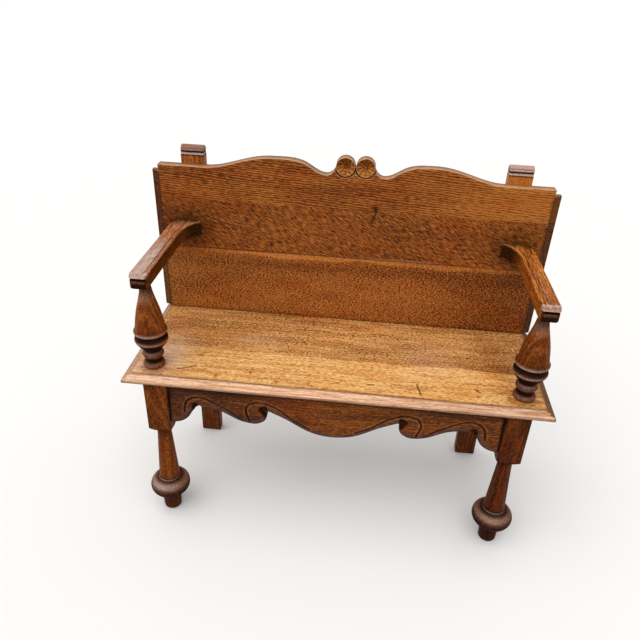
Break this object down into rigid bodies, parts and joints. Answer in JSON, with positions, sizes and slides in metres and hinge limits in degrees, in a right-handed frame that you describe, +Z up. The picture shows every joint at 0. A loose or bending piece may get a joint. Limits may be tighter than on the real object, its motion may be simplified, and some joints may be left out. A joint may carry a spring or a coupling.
{
  "type": "hall bench",
  "caption": "Small oak hall bench with a boarded seat, a shaped back with carved rosettes, swept arms on turned supports, turned front legs and a carved scroll apron.",
  "frame": {"origin": "on the floor under the middle of the bench", "axes": "+X along the seat, to the right as seen from the front; +Y towards the back; +Z up"},
  "size_m": [1.01, 0.3964, 0.9209],
  "materials": {
    "oak_seat": "golden oak, waxed",
    "oak_back": "red-brown oak, waxed",
    "oak_turned": "dark brown oak, polished",
    "oak_arm": "oak, worn on top",
    "oak_apron": "dark red-brown oak, waxed",
    "oak_frame": "plain oak, unpolished",
    "beech_dowel": "plain beech",
    "steel_screw": "plain steel, dull"
  },
  "bodies": {
    "root": {"seat_front_board": "oak_seat", "seat_rear_board": "oak_seat", "back_crest_board": "oak_back", "back_middle_board": "oak_back", "back_lower_board": "oak_back", "rear_post_left": "oak_back", "rear_post_right": "oak_back", "front_leg_left": "oak_turned", "front_leg_right": "oak_turned", "arm_support_left": "oak_turned", "arm_support_right": "oak_turned", "arm_left": "oak_arm", "arm_right": "oak_arm", "front_apron": "oak_apron", "side_rail_left": "oak_frame", "side_rail_right": "oak_frame", "rear_rail": "oak_frame", "corner_block_front_left": "oak_frame", "corner_block_front_right": "oak_frame", "corner_block_rear_left": "oak_frame", "corner_block_rear_right": "oak_frame", "seat_dowels": "beech_dowel", "back_dowels": "beech_dowel", "back_screws": "steel_screw", "arm_screws": "steel_screw", "seat_screws": "steel_screw"}
  },
  "joints": []
}
